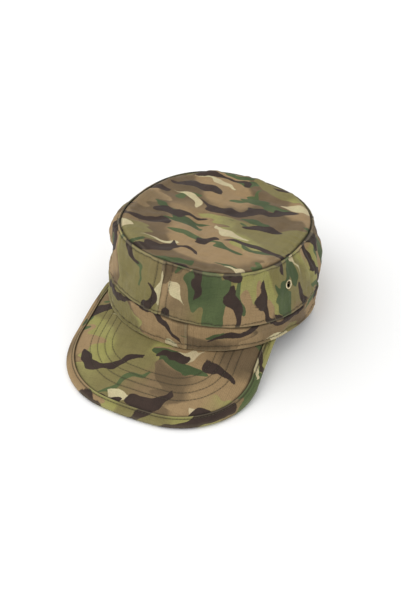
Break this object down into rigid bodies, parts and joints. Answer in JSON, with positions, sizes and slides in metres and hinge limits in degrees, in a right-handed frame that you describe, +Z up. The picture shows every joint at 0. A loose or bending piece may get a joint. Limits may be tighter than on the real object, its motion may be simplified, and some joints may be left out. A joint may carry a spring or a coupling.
{
  "type": "patrol cap",
  "caption": "Flat-topped cloth cap with a sewn band, a bound, stitched peak and a brass eyelet on each side of the wall.",
  "frame": {"origin": "middle of the cap's box on the surface that it rests on", "axes": "+Z up, the front of the cap towards -Y, the wearer's left towards +X"},
  "size_m": [0.178, 0.2674, 0.1087],
  "materials": {
    "crown_cloth": "matt printed ripstop cotton",
    "band_cloth": "matt printed ripstop cotton",
    "peak_cloth": "matt printed ripstop cotton, stitched in rows",
    "binding_cloth": "matt printed ripstop cotton",
    "eyelet_metal": "dull, slightly worn"
  },
  "bodies": {
    "root": {"crown_top": "crown_cloth", "crown_wall": "crown_cloth", "band": "band_cloth", "peak": "peak_cloth", "peak_binding": "binding_cloth", "eyelet_left": "eyelet_metal", "eyelet_right": "eyelet_metal"}
  },
  "joints": []
}
